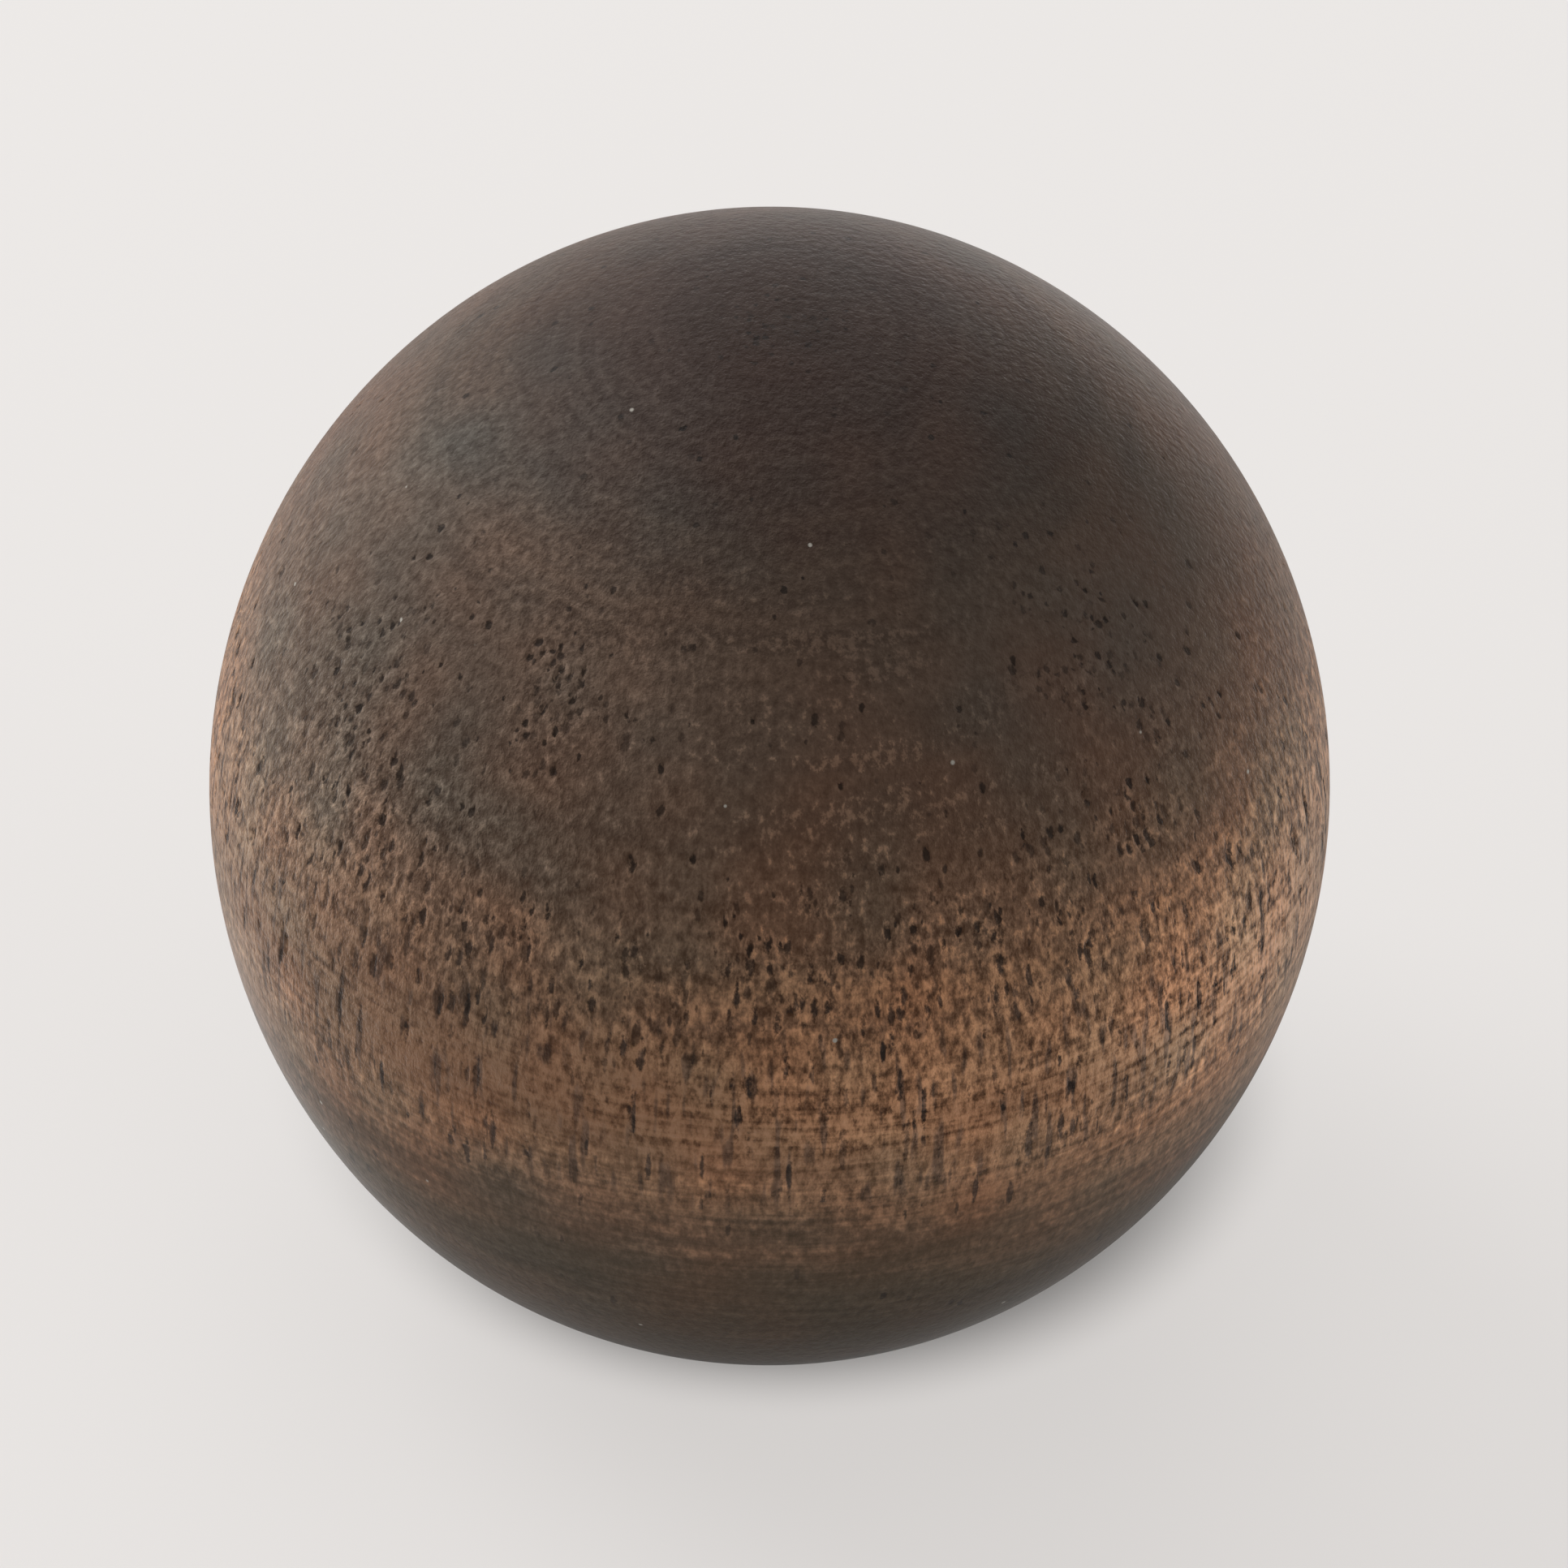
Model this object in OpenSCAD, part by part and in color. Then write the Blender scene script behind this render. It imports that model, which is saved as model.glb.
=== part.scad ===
// Ball finial: one turned piece of wood, a little taller than a true ball,
// faced off flat at the foot and drilled from below for a dowel.
// The turning axis is Z and the middle of the foot is the origin.

/* [Ball] */
// Width across the belly, the widest line of the ball
ball_d = 50; // [40:0.5:70]
// Height of the whole oval, from end to end, before the foot is faced off
oval_h = 52.9; // [44:0.1:70]

/* [Foot] */
// Width of the foot, out to where its softened edge touches the ball
foot_d = 23.5; // [18:0.5:32]
// Radius of the softened edge between the foot's flat and the ball
foot_round = 1.5; // [0.5:0.1:3]

/* [Dowel bore] */
// Width of the dowel that the finial is glued on
dowel_d = 10; // [6:0.5:12]
// Room for glue between dowel and bore, taken over the whole width
glue_gap = 0; // [0:0.05:0.3]
// Depth of the bore at its full width, from the foot
bore_depth = 20; // [12:0.5:26]
// Width of the bevel at the bore's mouth
mouth_bevel = 0.8; // [0.3:0.1:1.5]
// Full angle of the drill's point
drill_angle = 118; // [90:1:140]

/* [Hidden] */
$fn = 180;
wood = [0.36, 0.26, 0.20];

// Where the softened edge touches the oval, from the oval's middle,
// and the direction that points straight out of the oval there
touch = [foot_d / 2, -oval_h / 2 * sqrt(1 - pow(foot_d / ball_d, 2))];
slant = [touch.x / pow(ball_d, 2), touch.y / pow(oval_h, 2)];
outward = slant / norm(slant);

// Middle of the softened edge's arc, from the oval's middle. The arc reaches
// a hair past the oval, so that the two surfaces cross instead of only touching
lap = 0.001;
round_mid = touch - (foot_round - lap) * outward;

// Height of the belly line above the foot, and width of the flat left at the foot
belly_z = foot_round - round_mid.y;
flat_d = 2 * round_mid.x;

// The bore is cut from a little below the foot, and ends in the drill's cone
bore_d = dowel_d + glue_gap;
drill_tip = bore_d / 2 / tan(drill_angle / 2);
below = 1;

// Half section of the turned wood, from the axis out to the surface
module turned_section() {
    intersection() {
        translate([0, belly_z]) scale([1, oval_h / ball_d]) circle(d = ball_d);
        translate([0, belly_z + touch.y]) square([ball_d, oval_h]);
    }
    translate([flat_d / 2, foot_round]) circle(r = foot_round);
    square([flat_d / 2, foot_round]);
}

// Blind bore with a bevelled mouth and the cone that the drill's point leaves
module dowel_bore() {
    bevel_h = mouth_bevel + below;
    translate([0, 0, -below]) cylinder(d = bore_d, h = bore_depth + below);
    translate([0, 0, -below]) cylinder(d1 = bore_d + 2 * bevel_h, d2 = bore_d, h = bevel_h);
    translate([0, 0, bore_depth]) cylinder(d1 = bore_d, d2 = 0, h = drill_tip);
}

module finial() {
    color(wood) difference() {
        rotate_extrude() turned_section();
        dowel_bore();
    }
}

finial();
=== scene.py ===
"""Ball finial: one turned ball of wood, stained nearly black and rubbed back to brown round its belly."""

import math

import bmesh
import bpy
from mathutils import Matrix, Vector

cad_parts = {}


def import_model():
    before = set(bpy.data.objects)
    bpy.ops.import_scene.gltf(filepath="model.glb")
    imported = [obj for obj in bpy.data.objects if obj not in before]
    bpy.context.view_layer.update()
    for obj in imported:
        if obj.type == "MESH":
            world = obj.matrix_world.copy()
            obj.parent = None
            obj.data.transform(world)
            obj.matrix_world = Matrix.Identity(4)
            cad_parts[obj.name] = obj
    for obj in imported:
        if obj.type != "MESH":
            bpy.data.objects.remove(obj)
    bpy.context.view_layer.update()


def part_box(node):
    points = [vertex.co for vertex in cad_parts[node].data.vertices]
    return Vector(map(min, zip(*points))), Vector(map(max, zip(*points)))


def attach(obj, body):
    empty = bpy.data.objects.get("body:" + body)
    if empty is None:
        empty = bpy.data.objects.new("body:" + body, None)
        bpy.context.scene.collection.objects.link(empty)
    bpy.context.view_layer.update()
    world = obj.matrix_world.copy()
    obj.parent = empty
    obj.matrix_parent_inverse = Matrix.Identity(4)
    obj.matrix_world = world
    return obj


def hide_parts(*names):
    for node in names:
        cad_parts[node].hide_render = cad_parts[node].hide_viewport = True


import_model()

# ---------------------------------------------------------------- sizes
MM = 0.001
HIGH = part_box("finial")[1]

OVAL_HEIGHT = 52.9 * MM
FOOT_WIDTH = 23.5 * MM
FOOT_ROUND = 1.5 * MM
BORE_WIDTH = 10.0 * MM
BORE_DEPTH = 20.0 * MM
MOUTH_BEVEL = 0.8 * MM
DRILL_ANGLE = math.radians(118)

BALL_RADIUS = HIGH.x
HALF_HEIGHT = OVAL_HEIGHT / 2
BELLY_Z = HIGH.z - HALF_HEIGHT

# How finely the ball is divided: round the belly, and from pole to pole.
SEGMENTS = 384
RINGS = 120
FOOT_EDGE_STEPS = 5
BORE_STEPS = 6
# Width left at the drill's tip before it is drawn to a point, as a share of the bore.
TIP_SHARE = 0.02
SMOOTH_ANGLE = math.radians(32)
# Between these latitudes the faces are small enough to carve the open pores.
CARVED_LATITUDES = (-2, 55)
# Latitudes over which the carving fades in, and out again, and the tool ridges above the foot.
PORES_FADE_IN = (-2, 2)
PORES_FADE_OUT = (54, 46)
RIDGES_FADE_IN = (-54, -48)
# Distances from the axis in mm over which the tool ridges fade in, clear of the bore.
BORE_CLEAR = (6, 10)
# Depth of the widest pores, and of the marks that the turning tool left.
PORE_DEPTH = 0.13 * MM
TOOL_RIDGE = 0.012 * MM
# Pitch and length of the tool ridges, in mm.
RIDGES_CUT = (1.6, 14.0)
FOOT_RING_PITCH = 0.45 * MM
FOOT_RING_DEPTH = 0.02 * MM

# ---------------------------------------------------------------- view
# The image, its focal length and where the middle of the belly falls in it, in pixels.
IMAGE_SIZE = 1932
FOCAL_PIXELS = 13792.546
BELLY_PIXEL = (948.213, 970.418)
VIEW_TILT = math.radians(40.2991)
VIEW_ROLL = math.radians(1.86749)
VIEW_DISTANCE = 0.5
SENSOR_WIDTH = 36.0

# ---------------------------------------------------------------- light
WORLD_STRENGTH = 0.25
PALE_WORLD = (0.83, 0.80, 0.775)
LAMP_SIZE = 0.6
LAMP_DISTANCE = 0.8
# Where each lamp stands, as seen from the ball, and its power in watts.
LAMPS = {
    "key": ((-0.8, 0.6, 0.7), 4.7),
    "back": ((0, 1, 0.6), 1.8),
    "top": ((0, 0.05, 1), 0.7),
    "low_right": ((1, 0, 0.25), 1.5),
    "low_left": ((-1, 0, 0.25), 0.8),
}
TABLE_SIZE = 4.0
TABLE_COLOUR = (0.80, 0.788, 0.776)
TABLE_GLOW = (0.84, 0.81, 0.79)
# Share of the glow near the ball and far off, and the radii in mm from the one to the other, seen
# straight and in a mirror, round the middle of the ball's shade: the glow held back near the ball
# paints a tight shadow on the table, and on its reflection in the ball.
GLOW_IN_PAINTED_SHADOW, GLOW_FAR = 0.08, 0.73
PAINTED_SHADOW_RADII = (18.0, 24.5)
MIRRORED_SHADOW_RADII = (30.0, 80.0)
PAINTED_SHADOW_MIDDLE = (1.0, 8.4, 0)


# ---------------------------------------------------------------- modelling helpers
def deselect_everything():
    for thing in bpy.context.selected_objects:
        thing.select_set(False)


def pick_faces(piece, wanted):
    """Selects the faces of the piece in edit mode for which wanted(face) is true, and no others."""
    mesh = bmesh.from_edit_mesh(piece.data)
    mesh.select_mode = {'FACE'}
    bpy.context.tool_settings.mesh_select_mode = (False, False, True)
    for face in mesh.faces:
        face.select_set(wanted(face))
    mesh.select_flush_mode()
    bmesh.update_edit_mesh(piece.data)


def step_face(radius, height, new_radius, new_height):
    """Extrudes the selected round face along the axis and scales it, which makes one ring of wall."""
    move = {"value": (0, 0, new_height - height)}
    bpy.ops.mesh.extrude_region_move(TRANSFORM_OT_translate=move)
    shrink = new_radius / radius
    bpy.ops.transform.resize(value=(shrink, shrink, 1), center_override=(0, 0, new_height))


# ---------------------------------------------------------------- the ball
def foot_touch():
    """Radius and height at which the softened edge of the foot touches the oval."""
    radius = FOOT_WIDTH / 2
    drop = HALF_HEIGHT * math.sqrt(1 - (radius / BALL_RADIUS) ** 2)
    return radius, BELLY_Z - drop


def foot_edge():
    """Steps of the softened edge, from the oval round to the flat of the foot."""
    radius, height = foot_touch()
    outward = radius / BALL_RADIUS ** 2
    downward = (BELLY_Z - height) / HALF_HEIGHT ** 2
    start = math.atan2(downward, outward)
    middle = radius - FOOT_ROUND * math.cos(start)
    steps = []
    for k in range(1, FOOT_EDGE_STEPS + 1):
        angle = start + (math.pi / 2 - start) * k / FOOT_EDGE_STEPS
        steps.append((middle + FOOT_ROUND * math.cos(angle), FOOT_ROUND * (1 - math.sin(angle))))
    return steps


def foot_flat(outer):
    """Faint rings that the tool left across the flat of the foot, in to the bevel of the bore."""
    mouth = BORE_WIDTH / 2 + MOUTH_BEVEL
    count = round((outer - mouth) / FOOT_RING_PITCH)
    steps = []
    for k in range(1, count + 1):
        lift = FOOT_RING_DEPTH if k % 2 and k < count else 0.0
        steps.append((outer + (mouth - outer) * k / count, lift))
    return steps


def bore_wall():
    """The bevel at the mouth, the straight wall and the drill's point."""
    radius = BORE_WIDTH / 2
    tip = BORE_DEPTH + radius / math.tan(DRILL_ANGLE / 2)
    steps = [(radius, MOUTH_BEVEL)]
    for k in range(1, BORE_STEPS + 1):
        steps.append((radius, MOUTH_BEVEL + (BORE_DEPTH - MOUTH_BEVEL) * k / BORE_STEPS))
    steps.append((radius / 2, (BORE_DEPTH + tip) / 2))
    steps.append((radius * TIP_SHARE, tip))
    return steps


def turned_ball():
    deselect_everything()
    bpy.ops.mesh.primitive_uv_sphere_add(segments=SEGMENTS, ring_count=RINGS, radius=BALL_RADIUS,
                                         location=(0, 0, BELLY_Z))
    ball = bpy.context.object
    ball.name = "turned_ball"
    bpy.ops.object.transform_apply(location=True, rotation=False, scale=False)
    bpy.ops.object.mode_set(mode='EDIT')
    bpy.ops.mesh.select_all(action='SELECT')
    bpy.ops.transform.resize(value=(1, 1, HALF_HEIGHT / BALL_RADIUS), center_override=(0, 0, BELLY_Z))
    radius, height = foot_touch()
    bpy.ops.mesh.bisect(plane_co=(0, 0, height), plane_no=(0, 0, 1), use_fill=True, clear_inner=True)
    pick_faces(ball, lambda face: len(face.verts) > SEGMENTS / 2)
    for new_radius, new_height in foot_edge():
        step_face(radius, height, new_radius, new_height)
        radius, height = new_radius, new_height
    for new_radius, new_height in foot_flat(radius) + bore_wall():
        step_face(radius, height, new_radius, new_height)
        radius, height = new_radius, new_height
    bpy.ops.mesh.merge(type='CENTER')
    refine_belly(ball)
    bpy.ops.object.mode_set(mode='OBJECT')
    carve(ball)
    bpy.ops.object.shade_smooth_by_angle(angle=SMOOTH_ANGLE)
    return ball


def refine_belly(ball):
    """Divides the faces once more where the pores are carved."""
    low, high = (BELLY_Z + HALF_HEIGHT * math.sin(math.radians(a)) for a in CARVED_LATITUDES)

    def in_zone(face):
        middle = face.calc_center_median()
        return low < middle.z < high and middle.xy.length > BORE_WIDTH

    pick_faces(ball, in_zone)
    bpy.ops.mesh.subdivide(number_cuts=1, smoothness=0)


# ---------------------------------------------------------------- node helpers
class Nodes:
    """Adds nodes to a tree, for a material or for the carving, and links their sockets."""

    def __init__(self, tree):
        self.tree = tree

    def add(self, kind, **settings):
        node = self.tree.nodes.new(kind)
        for name, value in settings.items():
            setattr(node, name, value)
        return node

    def feed(self, socket, value):
        if isinstance(value, bpy.types.NodeSocket):
            self.tree.links.new(value, socket)
        else:
            socket.default_value = value

    def math(self, operation, a, b=0.0, clamp=False):
        node = self.add("ShaderNodeMath", operation=operation, use_clamp=clamp)
        self.feed(node.inputs[0], a)
        self.feed(node.inputs[1], b)
        return node.outputs[0]

    def add_up(self, *values):
        total = values[0]
        for value in values[1:]:
            total = self.math('ADD', total, value)
        return total

    def times(self, *values):
        product = values[0]
        for value in values[1:]:
            product = self.math('MULTIPLY', product, value)
        return product

    def minus_half(self, value):
        """A noise from 0 to 1 made to swing both ways round 0."""
        return self.math('SUBTRACT', value, 0.5)

    def vector(self, operation, a, b):
        node = self.add("ShaderNodeVectorMath", operation=operation)
        self.feed(node.inputs[0], a)
        self.feed(node.inputs[1], b)
        return node.outputs[0]

    def scale_add(self, a, b, c):
        """The vector a times b plus c."""
        node = self.add("ShaderNodeVectorMath", operation='MULTIPLY_ADD')
        for socket, value in zip(node.inputs, (a, b, c)):
            self.feed(socket, value)
        return node.outputs[0]

    def split(self, vector):
        node = self.add("ShaderNodeSeparateXYZ")
        self.feed(node.inputs[0], vector)
        return node.outputs

    def join(self, x, y, z):
        node = self.add("ShaderNodeCombineXYZ")
        for socket, value in zip(node.inputs, (x, y, z)):
            self.feed(socket, value)
        return node.outputs[0]

    def noise(self, place, detail=2.0, rough=0.5):
        """Soft noise, from 0 to 1 and 0.5 on average."""
        node = self.add("ShaderNodeTexNoise")
        self.feed(node.inputs["Vector"], place)
        node.inputs["Scale"].default_value = 1.0
        node.inputs["Detail"].default_value = detail
        node.inputs["Roughness"].default_value = rough
        return node.outputs[0]

    def cells(self, place):
        """Distance to the nearest of the scattered points, and that point's own random colour."""
        node = self.add("ShaderNodeTexVoronoi", feature='F1')
        self.feed(node.inputs["Vector"], place)
        node.inputs["Scale"].default_value = 1.0
        return node.outputs["Distance"], node.outputs["Color"]

    def rise(self, value, start, end, low=0.0, high=1.0):
        """Smooth step: low before start, high after end."""
        node = self.add("ShaderNodeMapRange", interpolation_type='SMOOTHSTEP')
        for socket, number in zip(node.inputs, (value, start, end, low, high)):
            self.feed(socket, number)
        return node.outputs[0]

    def blend(self, share, a, b, clamp=True):
        """Colour a where share is 0 and b where it is 1, and past them when it isn't clamped."""
        node = self.add("ShaderNodeMix", data_type='RGBA', clamp_factor=clamp)
        self.feed(node.inputs[0], share)
        self.feed(node.inputs[6], a)
        self.feed(node.inputs[7], b)
        return node.outputs[2]

    def luminance(self, colour):
        """How bright a colour is."""
        node = self.add("ShaderNodeRGBToBW")
        self.feed(node.inputs[0], colour)
        return node.outputs[0]

    def ramp(self, value, stops):
        """Colours from stops, a list of (position, colour)."""
        node = self.add("ShaderNodeValToRGB")
        self.feed(node.inputs[0], value)
        marks = node.color_ramp.elements
        while len(marks) < len(stops):
            marks.new(1.0)
        for mark, (position, colour) in zip(marks, stops):
            mark.position = position
            mark.color = (*colour, 1)
        return node.outputs[0]


# ---------------------------------------------------------------- the wood's own pattern
# Places are in millimetres from the middle of the belly, and the grain runs along Z.
def millimetres(g, place):
    scaled = g.vector('MULTIPLY', place, (1 / MM, 1 / MM, 1 / MM))
    return g.vector('SUBTRACT', scaled, (0, 0, BELLY_Z / MM))


def stretched(g, place, across, along):
    """The place as seen by a pattern whose marks are so many mm across the grain and along it."""
    return g.vector('MULTIPLY', place, (1 / across, 1 / across, 1 / along))


def latitude(g, place):
    """Degrees above the belly line."""
    height = g.math('DIVIDE', g.split(place)[2], HALF_HEIGHT / MM)
    return g.times(g.math('ARCSINE', height), 180 / math.pi)


def longitude(g, place):
    """Degrees round from the front, to the right."""
    x, y = g.split(place)[:2]
    return g.times(g.math('ARCTAN2', x, g.times(y, -1.0)), 180 / math.pi)


def from_axis(g, place):
    """Distance from the turning axis."""
    x, y = g.split(place)[:2]
    return g.math('SQRT', g.add_up(g.times(x, x), g.times(y, y)))


def bearings(g, place):
    """Longitude and latitude as the first two parts of a vector."""
    return g.join(longitude(g, place), latitude(g, place), 0.0)


def spot(g, where, spot_longitude, spot_latitude, half_width, half_height):
    """A soft spot, 1 in its middle."""
    shrink = (1 / half_width, 1 / half_height, 0.0)
    shift = (-spot_longitude / half_width, -spot_latitude / half_height, 0.0)
    away = g.scale_add(where, shrink, shift)
    node = g.add("ShaderNodeVectorMath", operation='DOT_PRODUCT')
    g.feed(node.inputs[0], away)
    g.feed(node.inputs[1], away)
    return g.math('POWER', 1 / math.e, node.outputs["Value"])


# Where the grain lies open on the upper part: longitude, latitude, half width and half height.
OPEN_PATCHES = [
    (-58, 36, 10, 10),
    (-46, 22, 13, 9),
    (-30, 44, 10, 7),
    (50, 44, 9, 10),
    (44, 30, 14, 8),
    (12, 22, 30, 7),
    (-40, 14, 16, 8),
    (0, 88, 400, 4),
]
# Latitudes at which the open band fades out above and in below.
OPEN_BAND_TOP = (24, 12)
OPEN_BAND_FOOT = (-9, -3)
OPEN_CLUSTER = 2.6
# Sizes of the marks across the grain and along it, in mm.
PORE_CELL = (0.38, 2.8)
STREAK_SIZE = (0.42, 3.2)
# Smallest and largest pore, as shares of its cell.
PORE_REACH = (0.16, 0.54)
# Share of the cells that hold a pore, high up and in the band, the latitudes between these two,
# and the share in closed grain.
PORE_SHARES = (0.95, 0.40)
PORE_LATITUDES = (20, 10)
CLOSED_SHARE = 0.04


def openness(g, place):
    """How open the grain is, from 0 to 1: fully in the band, and in patches above it."""
    angle = latitude(g, place)
    where = bearings(g, place)
    spots = [spot(g, where, *patch) for patch in OPEN_PATCHES]
    field = g.noise(stretched(g, place, OPEN_CLUSTER, OPEN_CLUSTER), detail=0.0)
    gathered = g.times(g.add_up(*spots), g.rise(field, 0.30, 0.58, 0.25, 1.15))
    band = g.times(g.rise(angle, *OPEN_BAND_TOP), g.rise(angle, *OPEN_BAND_FOOT))
    return g.math('ADD', band, gathered, clamp=True)


def wide_pores(g, place, open_share, ragged=0.0):
    """Open pores, dark dots in end grain and long along it, and the pale lips round them, partly rubbed
    stain and partly a painted highlight.
    """
    distance, colour = g.cells(stretched(g, place, *PORE_CELL))
    random = g.split(colour)
    band = g.rise(latitude(g, place), *PORE_LATITUDES, *PORE_SHARES)
    share = g.add_up(g.times(open_share, band), CLOSED_SHARE)
    chosen = g.rise(g.add_up(random[0], share), 0.98, 1.0)
    smallest, largest = PORE_REACH
    size = g.add_up(g.times(random[1], largest - smallest), smallest)
    reach = g.add_up(g.math('DIVIDE', distance, size), ragged)
    # The lip is a pale ring round the pore, partly a painted highlight.
    lip = g.times(g.rise(reach, 1.0, 1.3), g.rise(reach, 2.2, 1.4))
    deep = g.times(chosen, g.rise(random[2], 0.0, 1.0, 0.35, 1.0))
    return g.times(g.rise(reach, 1.1, 0.6), deep), g.times(lip, deep)


def streaks(g, place):
    """Dark streaks along the grain where the cut runs with it."""
    angle = latitude(g, place)
    zone = g.times(g.rise(angle, -8.0, -3.0), g.rise(angle, 19.0, 9.0))
    field = g.noise(stretched(g, place, *STREAK_SIZE), detail=0.7)
    return g.times(g.rise(field, 0.57, 0.70), zone)


def tool_lines(g, place, pitch, length):
    """Fine rings round the ball, broken into lengths."""
    x, y = g.split(place)[:2]
    arc = g.times(latitude(g, place), math.radians(1) * BALL_RADIUS / MM)
    along = g.join(g.times(x, 1 / length), g.times(y, 1 / length), g.times(arc, 1 / pitch))
    return g.noise(along, detail=2.0)


# ---------------------------------------------------------------- carving
def carved_depth(g, place):
    """How far each point moves out along its normal."""
    angle = latitude(g, place)
    outside = g.times(g.rise(from_axis(g, place), *BORE_CLEAR), g.rise(angle, *RIDGES_FADE_IN))
    belly = g.times(outside, g.rise(angle, *PORES_FADE_OUT), g.rise(angle, *PORES_FADE_IN))
    ridges = g.math('SUBTRACT', tool_lines(g, place, *RIDGES_CUT), 1.0)
    pores = wide_pores(g, place, openness(g, place))[0]
    return g.add_up(g.times(ridges, TOOL_RIDGE, outside), g.times(pores, -PORE_DEPTH, belly))


def carve(ball):
    """Sinks the widest pores and raises the faint tool ridges in the mesh itself."""
    tree = bpy.data.node_groups.new("carving", 'GeometryNodeTree')
    tree.interface.new_socket("Geometry", in_out='INPUT', socket_type='NodeSocketGeometry')
    tree.interface.new_socket("Geometry", in_out='OUTPUT', socket_type='NodeSocketGeometry')
    g = Nodes(tree)
    start = g.add("NodeGroupInput")
    end = g.add("NodeGroupOutput")
    shift = g.add("GeometryNodeSetPosition")
    depth = carved_depth(g, millimetres(g, g.add("GeometryNodeInputPosition").outputs[0]))
    normal = g.add("GeometryNodeInputNormal").outputs[0]
    tree.links.new(start.outputs[0], shift.inputs["Geometry"])
    tree.links.new(g.vector('MULTIPLY', normal, g.join(depth, depth, depth)), shift.inputs["Offset"])
    tree.links.new(shift.outputs[0], end.inputs[0])
    bpy.ops.object.modifier_add(type='NODES')
    carving = ball.modifiers[-1]
    carving.node_group = tree
    bpy.ops.object.modifier_apply(modifier=carving.name)
    bpy.data.node_groups.remove(tree)


# ---------------------------------------------------------------- materials
def new_material(name):
    material = bpy.data.materials.new(name)
    material.use_nodes = True
    return material, Nodes(material.node_tree), material.node_tree.nodes["Principled BSDF"]


# Colour of the stain and of the rubbed wood by latitude, from the foot to the crown:
# in the hollows of the grain first, then on its ridges.
HOLLOWS = [
    (-62, (0.045, 0.030, 0.020)),
    (-29, (0.058, 0.038, 0.023)),
    (-17, (0.080, 0.050, 0.029)),
    (-11, (0.105, 0.061, 0.036)),
    (-5, (0.172, 0.090, 0.048)),
    (7, (0.165, 0.080, 0.041)),
    (19, (0.122, 0.060, 0.031)),
    (31, (0.092, 0.046, 0.025)),
    (43, (0.080, 0.045, 0.029)),
    (55, (0.058, 0.034, 0.022)),
    (67, (0.037, 0.021, 0.015)),
    (79, (0.021, 0.010, 0.007)),
    (90, (0.016, 0.007, 0.004)),
]
RIDGES = [
    (-62, (0.080, 0.055, 0.036)),
    (-29, (0.100, 0.070, 0.045)),
    (-17, (0.150, 0.100, 0.064)),
    (-11, (0.240, 0.145, 0.090)),
    (-5, (0.425, 0.236, 0.138)),
    (5, (0.610, 0.325, 0.174)),
    (13, (0.522, 0.276, 0.148)),
    (19, (0.387, 0.220, 0.132)),
    (26, (0.263, 0.161, 0.105)),
    (37, (0.174, 0.111, 0.077)),
    (49, (0.142, 0.095, 0.068)),
    (60, (0.080, 0.056, 0.043)),
    (73, (0.052, 0.035, 0.028)),
    (90, (0.032, 0.018, 0.013)),
]
# How much the grain shows, by latitude.
CONTRAST = [
    (-62, 0.45),
    (-24, 0.62),
    (-13, 0.55),
    (-4, 0.75),
    (6, 0.92),
    (22, 0.95),
    (34, 0.78),
    (50, 0.66),
    (64, 0.58),
    (90, 0.45),
]
# Soft patches where the ball was rubbed more or less, and patches of painted sheen and painted shade
# near the outline: longitude, latitude, half width and half height in degrees, then stops brighter,
# degrees of wear and share of grey, the grey partly a painted sheen.
WEAR_AND_PAINTED_SHEEN_PATCHES = [
    (-50, 62, 32, 15, 0.75, 0, 0.16),
    (-20, 44, 20, 14, 0.40, 0, 0.08),
    (45, 44, 28, 13, -0.52, 0, 0.20),
    (40, 29, 25, 9, -0.35, 0, 0.00),
    (-36, 8, 24, 9, -0.68, 0, 0.12),
    (-18, 25, 22, 10, -0.38, 0, 0.00),
    (10, 4, 13, 9, 0.30, 0, 0.00),
    (55, 4, 22, 12, 0.85, 0, 0.05),
    (-62, -14, 16, 8, 0.00, 7, 0.05),
    (-54, -26, 14, 9, 0.40, 0, 0.08),
    (58, -13, 22, 8, 0.10, 5, 0.04),
    (62, -30, 20, 8, -0.60, 0, 0.00),
    (-62, 26, 26, 18, -0.08, 0, 0.40),
    (-24, 28, 20, 14, 0.10, 0, 0.18),
    (-72, 56, 16, 14, 0.00, 0, 0.18),
    (-66, -4, 18, 14, 0.20, 0, 0.24),
    (-20, -12, 22, 8, -0.12, 0, 0.15),
    (-84, 44, 15, 22, 0.45, 0, 0.20),
    (76, 4, 18, 18, 0.35, 0, 0.22),
    (76, 54, 22, 16, -1.00, 0, 0.20),
]
FLECK_PATCH = (12, 44, 34, 17)
# The back is made darker: stops brighter, and depth in mm over which it sets in.
BACK_STOPS = -0.35
BACK_DEPTHS = (-2, 22)
# A greyed part of the wood, partly a painted sheen, and the stain left in the pores, as shares of the
# brightness there.
GREY_TONE = (1.04, 1.0, 0.86)
PORE_TONE = (0.57, 0.375, 0.285)
# Slow drift of the stain between warm and olive: its size in mm, and its reach in red and blue.
DRIFT_SIZE = 4.0
DRIFT_REACH = (0.30, 0.0, -0.14)
# Bare wood in the bore, and the radius in mm at which the stain ends.
BARE_DARK = (0.30, 0.17, 0.09)
BARE_PALE = (0.56, 0.37, 0.22)
BORE_SKIN = (BORE_WIDTH / 2 + MOUTH_BEVEL) / MM
DUST = (0.45, 0.42, 0.37)
DUST_CELL = 1.6

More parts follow.
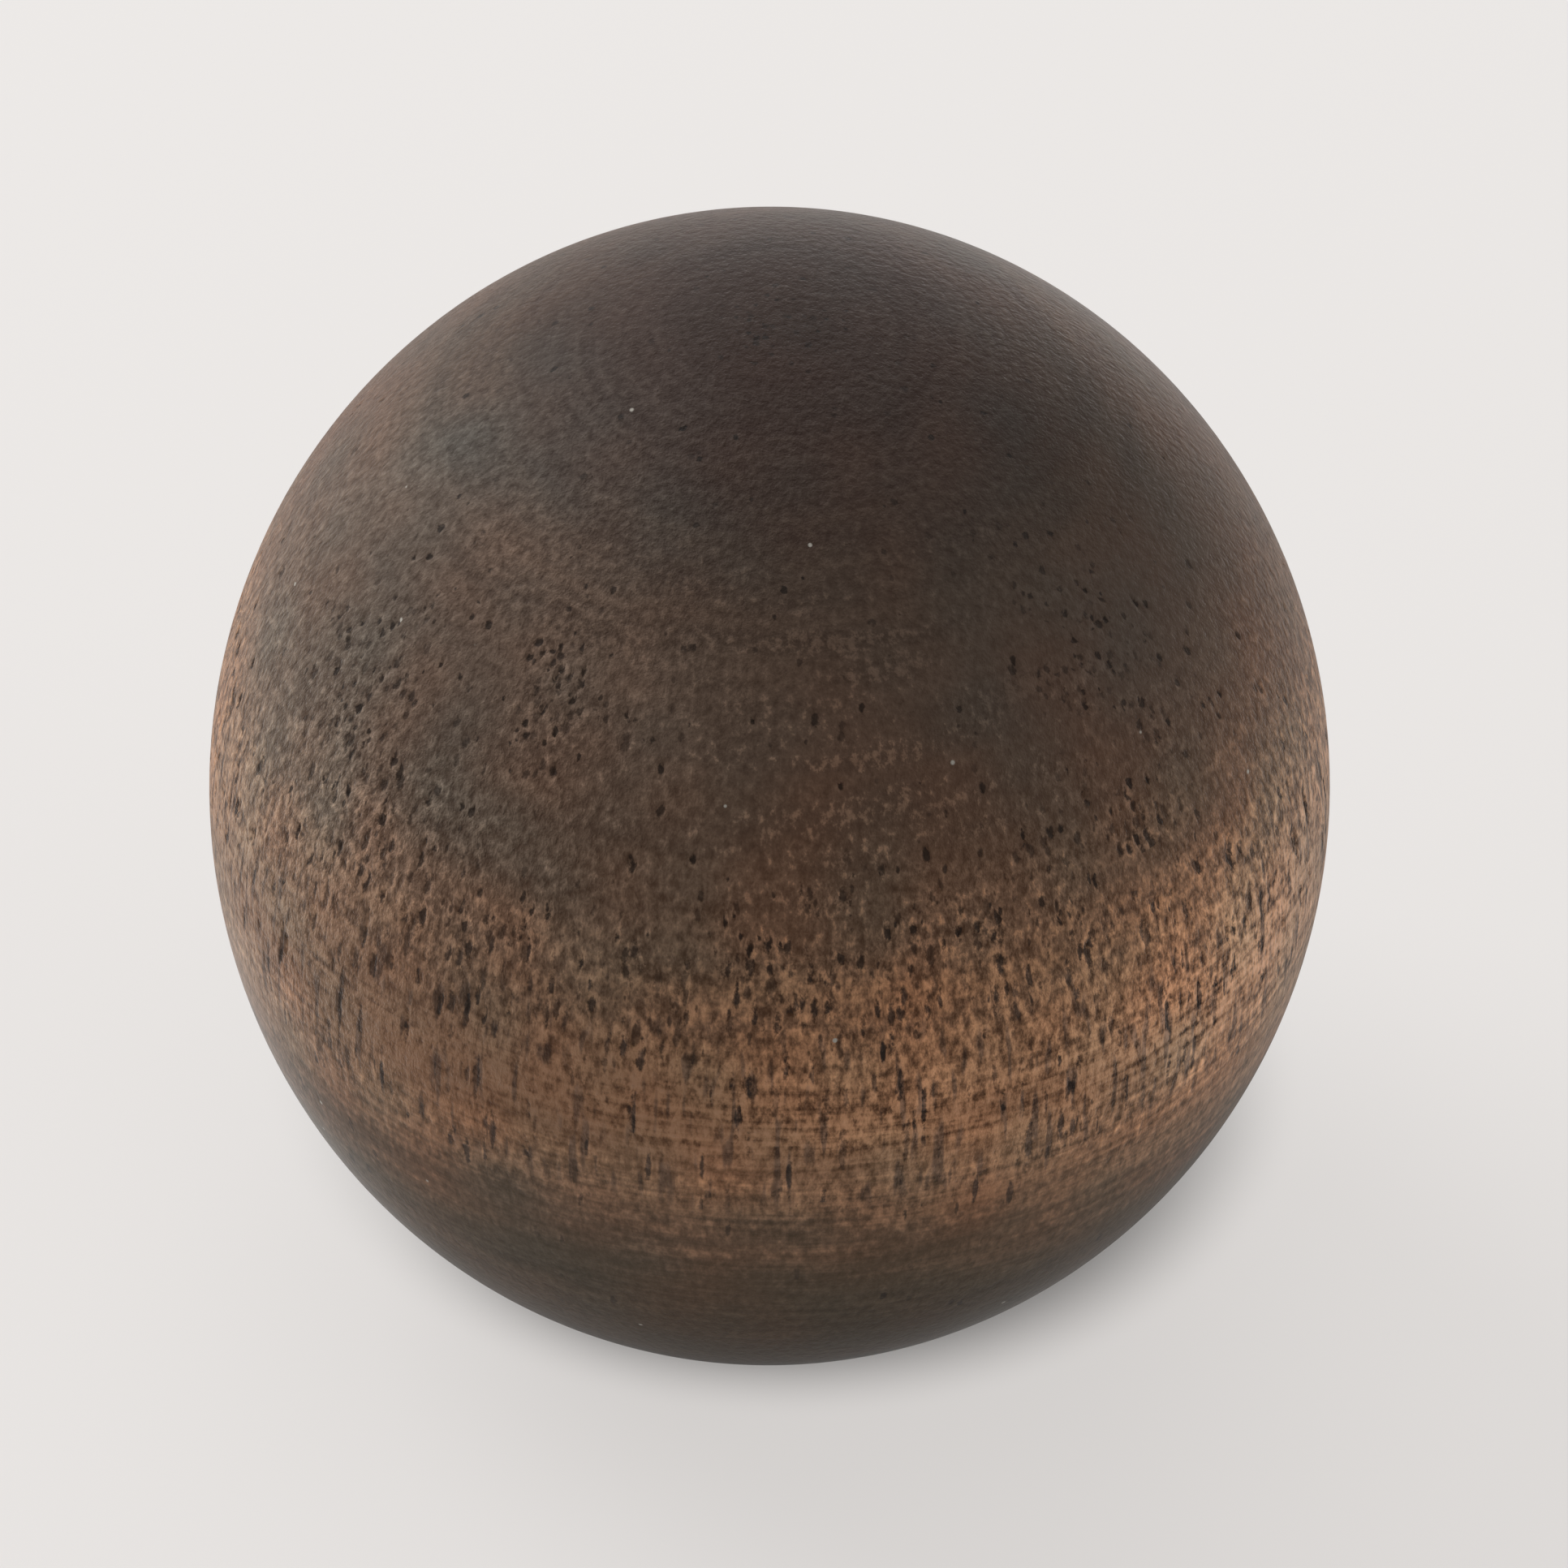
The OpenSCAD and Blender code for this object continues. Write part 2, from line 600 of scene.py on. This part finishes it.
# The fine grain, in mm across and along, and the turning lines and the broad rows, as pitch and
# length in mm.
MOTTLE_SIZE = (0.40, 0.72)
MOTTLE_DETAIL = 3.0
MOTTLE_ROUGH = 0.7
LINES = (0.30, 6.0)
ROWS = (1.6, 9.0)
# What each mark adds to the grain, which lies between 0 in the hollows and 1 on the ridges.
MOTTLE_SWING = 2.4
PORE_SWING = -0.15
# Pale lips round the pores: partly rubbed stain, partly a painted highlight.
LIP_HIGHLIGHT_SWING = 0.22
STREAK_SWING = -0.15
FLECK_SWING = 0.35
# How far the grain runs past the hollows' colour and the ridges' colour.
GRAIN_LIMITS = (-0.15, 1.50)
# How much each mark moves the stain's edge, in degrees.
ROW_EDGE = 18.0
SWING_EDGE = -16.0
FLECK_EDGE = -9.0
PORE_STAIN = 0.85
STREAK_STAIN = 0.60
# How much the fine grain frays the rims of the pores.
RAGGED = 2.4
RELIEF_DEPTH = 0.22 * MM
ROUGHNESS = (0.72, 0.58)


def patches(g, place):
    """Sums the soft patches, wear and painted sheen and shade: stops brighter, degrees of wear and share
    of grey.
    """
    where = bearings(g, place)
    total = (0.0, 0.0, 0.0)
    for *patch, stops, wear, grey in WEAR_AND_PAINTED_SHEEN_PATCHES:
        total = g.scale_add(spot(g, where, *patch), (stops, wear, grey), total)
    return g.split(total)


def by_latitude(g, angle, table):
    share = g.add_up(g.times(angle, 1 / 180), 0.5)
    return g.ramp(share, [(0.5 + degrees / 180, colour) for degrees, colour in table])


def flecks(g, place, mottle, rows):
    """Rubbed flecks in broken rows on the front of the dark part."""
    front = spot(g, bearings(g, place), *FLECK_PATCH)
    level = g.add_up(mottle, g.times(g.minus_half(rows), 0.9))
    return g.times(g.rise(level, 0.56, 0.70), front)


def raw_wood(g, place, mottle):
    """Bare wood inside the bore, and where it is, from 0 to 1."""
    inside = g.rise(from_axis(g, place), BORE_SKIN, BORE_SKIN - 0.3)
    below = g.rise(g.split(place)[2], 1.0, 0.0)
    return g.blend(mottle, (*BARE_DARK, 1), (*BARE_PALE, 1)), g.times(inside, below)


def dust(g, place):
    """A few pale specks of dust caught in the pores."""
    distance, colour = g.cells(stretched(g, place, DUST_CELL, DUST_CELL))
    random = g.split(colour)
    size = g.add_up(0.04, g.times(random[1], 0.05))
    return g.times(g.rise(distance, size, g.times(size, 0.5)), g.rise(random[0], 0.84, 0.85))


def grain_swing(g, place, open_share, marks):
    """How far the grain rises and falls at each point, from all the marks in it."""
    mottle, pores, lips, streak, fleck = marks
    angle = latitude(g, place)
    contrast = by_latitude(g, angle, [(degrees, (share,) * 3) for degrees, share in CONTRAST])
    contrast = g.times(g.split(contrast)[0], g.rise(open_share, 0.0, 1.0, 0.75, 1.0))
    line_zone = g.add_up(g.rise(angle, 14.0, 3.0, 0.4, 1.2), g.rise(angle, 55.0, 75.0, 0.0, 0.6))
    swing = g.add_up(
        g.times(g.minus_half(mottle), MOTTLE_SWING),
        g.times(g.minus_half(tool_lines(g, place, *LINES)), line_zone),
        g.times(pores, PORE_SWING),
        g.times(lips, LIP_HIGHLIGHT_SWING),
        g.times(streak, STREAK_SWING),
        g.times(fleck, FLECK_SWING),
    )
    return g.times(swing, contrast)


def stain(g, place, swing, rows, mottle, fleck):
    """The stain in the hollows, and the rubbed wood on the ridges, with their soft patches of wear and of
    painted sheen and shade.
    """
    angle = latitude(g, place)
    # The patches hold wear, and painted sheen and painted shade near the outline.
    brighter, wear, grey = patches(g, place)
    behind = g.rise(g.split(place)[1], *BACK_DEPTHS)
    gain = g.math('POWER', 2.0, g.add_up(brighter, g.times(behind, BACK_STOPS)))
    side = g.rise(angle, -5.0, 3.0, -1.0, 1.0)
    edge = g.add_up(
        angle,
        wear,
        g.times(g.minus_half(rows), ROW_EDGE),
        g.times(swing, side, SWING_EDGE),
        g.times(fleck, FLECK_EDGE),
    )
    hollow = by_latitude(g, edge, HOLLOWS)
    ridge = g.vector('MULTIPLY', by_latitude(g, edge, RIDGES), g.join(gain, gain, gain))
    share = g.rise(g.add_up(0.5, swing), *GRAIN_LIMITS, *GRAIN_LIMITS)
    colour = g.blend(share, hollow, ridge, clamp=False)
    # The grey share is partly a painted sheen near the outline.
    greyed = g.vector('MULTIPLY', g.luminance(colour), GREY_TONE)
    return g.blend(g.times(grey, g.add_up(0.4, g.times(mottle, 1.2))), colour, greyed)


def pore_stain(g, place, colour, pores, streak):
    """Dark stain left in the pores and streaks, darkest in the pores of the upper part."""
    deep = g.rise(latitude(g, place), 28.0, 14.0, 0.45, 1.0)
    darkness = g.times(g.luminance(colour), deep)
    depth = g.math('ADD', g.times(pores, PORE_STAIN), g.times(streak, STREAK_STAIN), clamp=True)
    return g.blend(depth, colour, g.vector('MULTIPLY', darkness, PORE_TONE))


def fine_relief(g, place, mottle):
    """Fine unevenness of the surface, strongest in the band."""
    angle = latitude(g, place)
    band = g.times(g.rise(angle, -14.0, 2.0, 0.15, 1.0), g.rise(angle, 48.0, 22.0, 0.55, 1.0))
    bump = g.add("ShaderNodeBump")
    bump.inputs["Distance"].default_value = 1.0
    bump.inputs["Strength"].default_value = 1.0
    g.feed(bump.inputs["Height"], g.times(mottle, band, RELIEF_DEPTH))
    return bump.outputs[0]


def stained_wood():
    material, g, surface = new_material("stained_wood")
    place = millimetres(g, g.add("ShaderNodeTexCoord").outputs["Object"])
    open_share = openness(g, place)
    mottle = g.noise(stretched(g, place, *MOTTLE_SIZE), detail=MOTTLE_DETAIL, rough=MOTTLE_ROUGH)
    rows = tool_lines(g, place, *ROWS)
    ragged = g.times(g.minus_half(mottle), RAGGED)
    pores, lips = wide_pores(g, place, open_share, ragged)
    streak = streaks(g, place)
    fleck = flecks(g, place, mottle, rows)
    swing = grain_swing(g, place, open_share, (mottle, pores, lips, streak, fleck))

    colour = stain(g, place, swing, rows, mottle, fleck)
    colour = pore_stain(g, place, colour, pores, streak)
    drift = g.minus_half(g.noise(stretched(g, place, DRIFT_SIZE, DRIFT_SIZE), detail=0.0))
    tint = g.scale_add(g.join(drift, 0.0, drift), DRIFT_REACH, (1, 1, 1))
    colour = g.blend(dust(g, place), g.vector('MULTIPLY', colour, tint), (*DUST, 1))
    bare, inside = raw_wood(g, place, mottle)

    g.feed(surface.inputs["Base Color"], g.blend(inside, colour, bare))
    g.feed(surface.inputs["Normal"], fine_relief(g, place, mottle))
    g.feed(surface.inputs["Roughness"], g.rise(g.add_up(0.5, swing), 0.0, 1.0, *ROUGHNESS))
    surface.inputs["Specular IOR Level"].default_value = 0.12
    surface.inputs["Sheen Weight"].default_value = 0.33
    surface.inputs["Sheen Roughness"].default_value = 0.3
    return material


def table_top():
    """Pale, and for the eye a little lighter than its own shading away from the ball's foot; near the
    ball the glow is held back, which paints its shadow.
    """
    material, g, surface = new_material("table_top")
    surface.inputs["Base Color"].default_value = (*TABLE_COLOUR, 1)
    surface.inputs["Roughness"].default_value = 0.9
    surface.inputs["Specular IOR Level"].default_value = 0.2
    place = g.vector('MULTIPLY', g.add("ShaderNodeTexCoord").outputs["Object"], (1 / MM, 1 / MM, 1 / MM))
    distance = from_axis(g, g.vector('SUBTRACT', place, PAINTED_SHADOW_MIDDLE))
    path = g.add("ShaderNodeLightPath")
    mirrored = g.math('MAXIMUM', path.outputs["Is Glossy Ray"], path.outputs["Is Transmission Ray"])
    # The glow rises away from the ball: held back inside, it is a painted shadow, seen straight and
    # mirrored.
    share = g.add_up(
        g.times(g.rise(distance, *PAINTED_SHADOW_RADII, GLOW_IN_PAINTED_SHADOW, GLOW_FAR), path.outputs["Is Camera Ray"]),
        g.times(g.rise(distance, *MIRRORED_SHADOW_RADII, 0.0, GLOW_FAR), mirrored),
    )
    glow = g.add("ShaderNodeEmission")
    glow.inputs["Color"].default_value = (*TABLE_GLOW, 1)
    mix = g.add("ShaderNodeMixShader")
    g.feed(mix.inputs[0], share)
    g.feed(mix.inputs[1], surface.outputs[0])
    g.feed(mix.inputs[2], glow.outputs[0])
    g.feed(material.node_tree.nodes["Material Output"].inputs["Surface"], mix.outputs[0])
    return material


def seen_rays(g):
    """1 where the background is seen, straight or in a reflection, and 0 for the light it gives."""
    path = g.add("ShaderNodeLightPath")
    seen = g.math('MAXIMUM', path.outputs["Is Camera Ray"], path.outputs["Is Glossy Ray"])
    return g.math('MAXIMUM', seen, path.outputs["Is Transmission Ray"])


# ---------------------------------------------------------------- stage
def table():
    deselect_everything()
    bpy.ops.mesh.primitive_plane_add(size=TABLE_SIZE, location=(0, 0, 0))
    top = bpy.context.object
    top.name = "table"
    top.data.materials.append(table_top())


def world():
    sky = bpy.data.worlds.new("studio")
    sky.use_nodes = True
    bpy.context.scene.world = sky
    g = Nodes(sky.node_tree)
    light = sky.node_tree.nodes["Background"]
    light.inputs["Color"].default_value = (1, 1, 1, 1)
    light.inputs["Strength"].default_value = WORLD_STRENGTH
    pale = g.add("ShaderNodeBackground")
    pale.inputs["Color"].default_value = (*PALE_WORLD, 1)
    mix = g.add("ShaderNodeMixShader")
    g.feed(mix.inputs[0], seen_rays(g))
    g.feed(mix.inputs[1], light.outputs[0])
    g.feed(mix.inputs[2], pale.outputs[0])
    g.feed(sky.node_tree.nodes["World Output"].inputs["Surface"], mix.outputs[0])


def lamps():
    for name, (direction, power) in LAMPS.items():
        light = bpy.data.lights.new(name, 'AREA')
        light.shape = 'DISK'
        light.size = LAMP_SIZE
        light.energy = power
        lamp = bpy.data.objects.new(name, light)
        bpy.context.scene.collection.objects.link(lamp)
        away = Vector(direction).normalized()
        lamp.location = away * LAMP_DISTANCE + Vector((0, 0, BELLY_Z))
        lamp.rotation_euler = away.to_track_quat('Z', 'Y').to_euler()


def camera():
    """Looks down on the ball from the front, from far off through a long lens."""
    back = Vector((0, -math.cos(VIEW_TILT), math.sin(VIEW_TILT)))
    level = Vector((1, 0, 0))
    upright = back.cross(level)
    right = level * math.cos(VIEW_ROLL) + upright * math.sin(VIEW_ROLL)
    up = upright * math.cos(VIEW_ROLL) - level * math.sin(VIEW_ROLL)
    pixel = VIEW_DISTANCE / FOCAL_PIXELS
    aside = (BELLY_PIXEL[0] - IMAGE_SIZE / 2) * pixel
    down = (BELLY_PIXEL[1] - IMAGE_SIZE / 2) * pixel
    eye = Vector((0, 0, BELLY_Z)) + back * VIEW_DISTANCE - right * aside + up * down
    lens = bpy.data.cameras.new("camera")
    lens.sensor_width = SENSOR_WIDTH
    lens.lens = FOCAL_PIXELS / IMAGE_SIZE * SENSOR_WIDTH
    lens.clip_start = 0.01
    lens.clip_end = 20.0
    viewer = bpy.data.objects.new("camera", lens)
    bpy.context.scene.collection.objects.link(viewer)
    turn = Matrix((right, up, back)).transposed().to_4x4()
    viewer.matrix_world = Matrix.Translation(eye) @ turn
    bpy.context.scene.camera = viewer


# ---------------------------------------------------------------- making
camera()
lamps()
world()
table()

ball = turned_ball()
wood = stained_wood()
ball.data.materials.append(wood)
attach(ball, "root")
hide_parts("finial")

bpy.context.scene.view_settings.view_transform = 'Standard'
